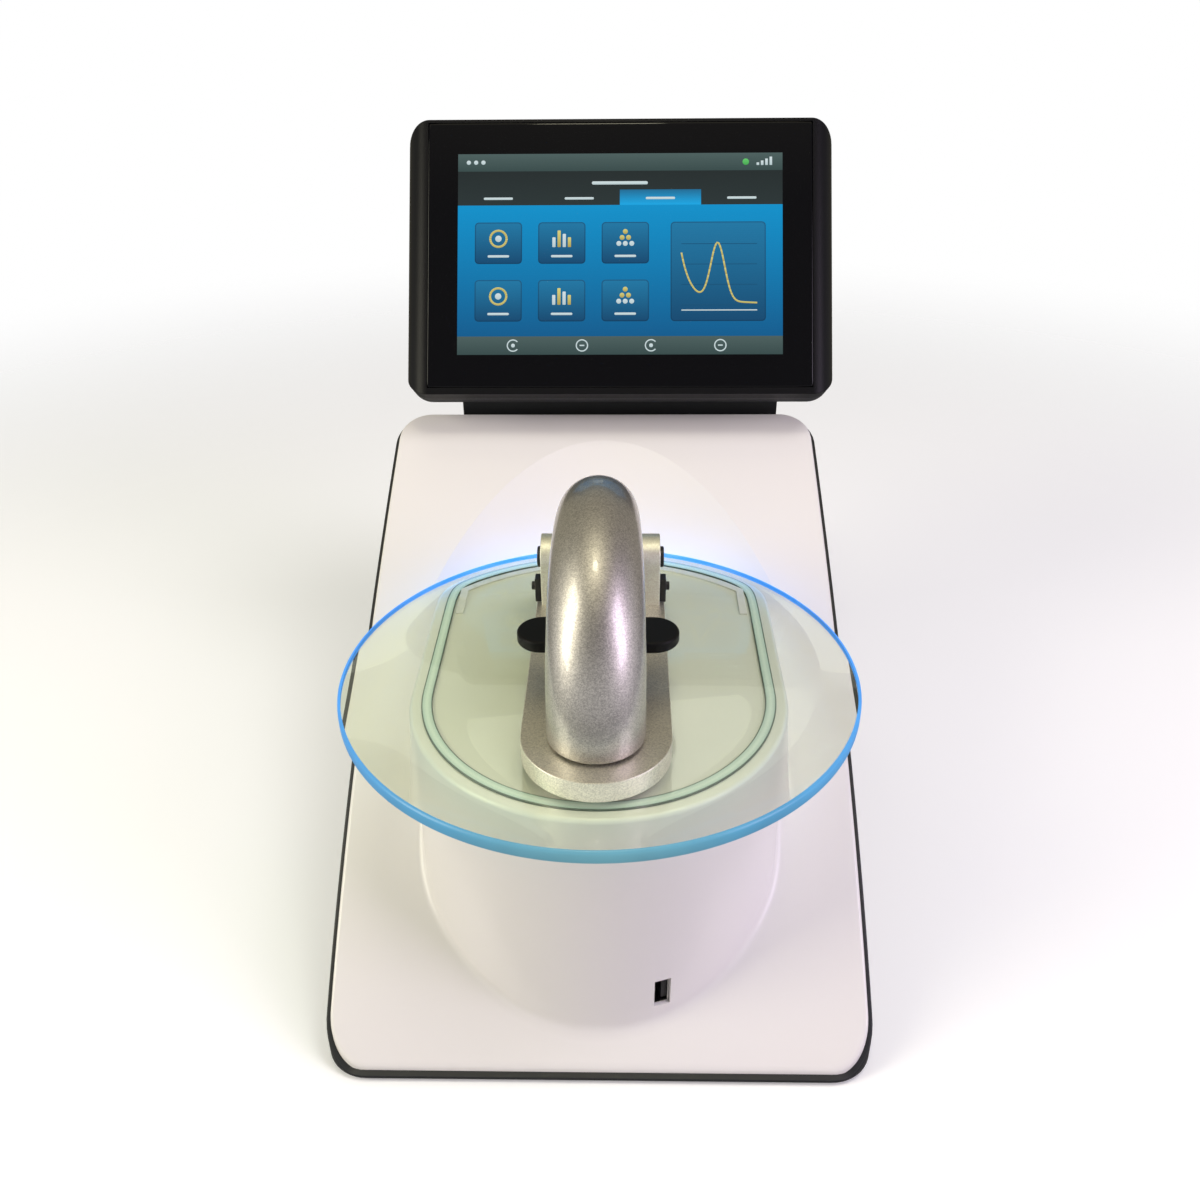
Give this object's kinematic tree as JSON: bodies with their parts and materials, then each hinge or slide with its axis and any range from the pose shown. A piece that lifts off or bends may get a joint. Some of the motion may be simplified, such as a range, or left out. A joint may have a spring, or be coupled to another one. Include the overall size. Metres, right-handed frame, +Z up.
{
  "type": "microvolume uv-vis spectrophotometer",
  "caption": "Wedge-shaped bench spectrophotometer with a round glass table, a lifting sample arm over a pedestal, a cuvette well and a touch display that slides and tilts.",
  "frame": {"origin": "centre of the flat underside of the base; the rubber feet stand out 1.5 mm below it", "axes": "+X to the instrument's right seen from the front, +Y to the back, +Z up"},
  "size_m": [0.207, 0.3309, 0.2823],
  "materials": {
    "cover_white": "smooth satin moulded cover",
    "base_black": "fine-textured black",
    "steel_black": "black powder coat",
    "rubber_black": "matt",
    "steel": "bright",
    "aluminium": "satin",
    "clear_glass": "polished clear table with a lit blue edge",
    "gasket_pale": "smooth pale silicone",
    "light_guide": "frosted",
    "plate_silver": "bead-blasted, anodised",
    "arm_pewter": "metallic pewter lacquer",
    "trim_black": "smooth black",
    "pedestal_steel": "polished",
    "motor_grey": "dark grey",
    "fibre_orange": "smooth jacket",
    "bench_grey": "dark grey",
    "optic_glass": "coated optic",
    "board_green": "solder mask",
    "port_metal": "nickel plated",
    "screen_black": "gloss black",
    "screen_glass": "gloss black border round the picture",
    "picture": "lit picture panel"
  },
  "bodies": {
    "base": {"base_frame": "base_black", "floor_plate": "steel_black", "rubber_feet": "rubber_black", "floor_screws": "steel", "top_cover": "cover_white", "deck_posts": "steel", "deck_plate": "aluminium", "glass_gasket": "gasket_pale", "light_strip": "light_guide", "glass_table": "clear_glass", "pedestal_plate": "plate_silver", "plate_screws": "steel", "hinge_block": "plate_silver", "hinge_pin": "steel", "pin_caps": "trim_black", "stop_clips": "trim_black", "lower_bushing": "trim_black", "lower_pedestal": "pedestal_steel", "path_motor": "motor_grey", "cuvette_holder": "trim_black", "stirrer_motor": "motor_grey", "detector_fibre": "fibre_orange", "spectrometer_case": "bench_grey", "spectrometer_grating": "optic_glass", "spectrometer_sensor": "board_green", "spectrometer_lid": "bench_grey", "lamp_case": "bench_grey", "flash_lamp": "optic_glass", "main_board": "board_green", "board_standoffs": "steel", "front_port_shell": "port_metal", "front_port_tongue": "trim_black", "front_port_board": "board_green", "rear_panel": "base_black", "rear_usb_shells": "port_metal", "rear_usb_tongues": "trim_black", "network_jack": "port_metal", "power_inlet": "trim_black", "inlet_pin": "steel", "button_switch": "trim_black", "slide_rail": "aluminium", "rail_screws": "steel"},
    "arm": {"arm_shell": "arm_pewter", "arm_belly": "trim_black", "finger_wings": "trim_black", "upper_bushing": "trim_black", "upper_pedestal": "pedestal_steel", "belly_screws": "steel"},
    "path_pin": {"path_pin": "pedestal_steel"},
    "stirrer": {"stirrer_magnet": "motor_grey"},
    "button": {"power_button": "trim_black"},
    "carriage": {"display_carriage": "steel_black"},
    "display": {"tilt_pin": "steel", "display_bracket": "steel_black", "display_back": "base_black", "display_frame": "screen_black", "display_glass": "screen_glass", "picture_panel": "picture", "display_board": "board_green"}
  },
  "joints": [
    {"name": "arm_lift", "type": "hinge", "parent": "base", "child": "arm", "pos_m": [0, -0.002, 0.1465], "axis": [-1, 0, 0], "range_deg": [0, 70]},
    {"name": "path_pin_slide", "type": "slide", "parent": "base", "child": "path_pin", "axis": [0, 0, 1], "range_m": [-0.001, 0]},
    {"name": "stirrer_spin", "type": "hinge", "parent": "base", "child": "stirrer", "pos_m": [0, -0.054, 0.0885], "axis": [0, 0, 1], "continuous": true},
    {"name": "button_push", "type": "slide", "parent": "base", "child": "button", "axis": [0, -1, 0], "range_m": [0, 0.0015], "stiffness_N_per_m": 400},
    {"name": "display_slide", "type": "slide", "parent": "base", "child": "carriage", "axis": [1, 0, 0], "range_m": [-0.027, 0.013]},
    {"name": "display_tilt", "type": "hinge", "parent": "carriage", "child": "display", "pos_m": [0.007, 0.144, 0.1777], "axis": [1, 0, 0], "range_deg": [-20, 15]}
  ]
}
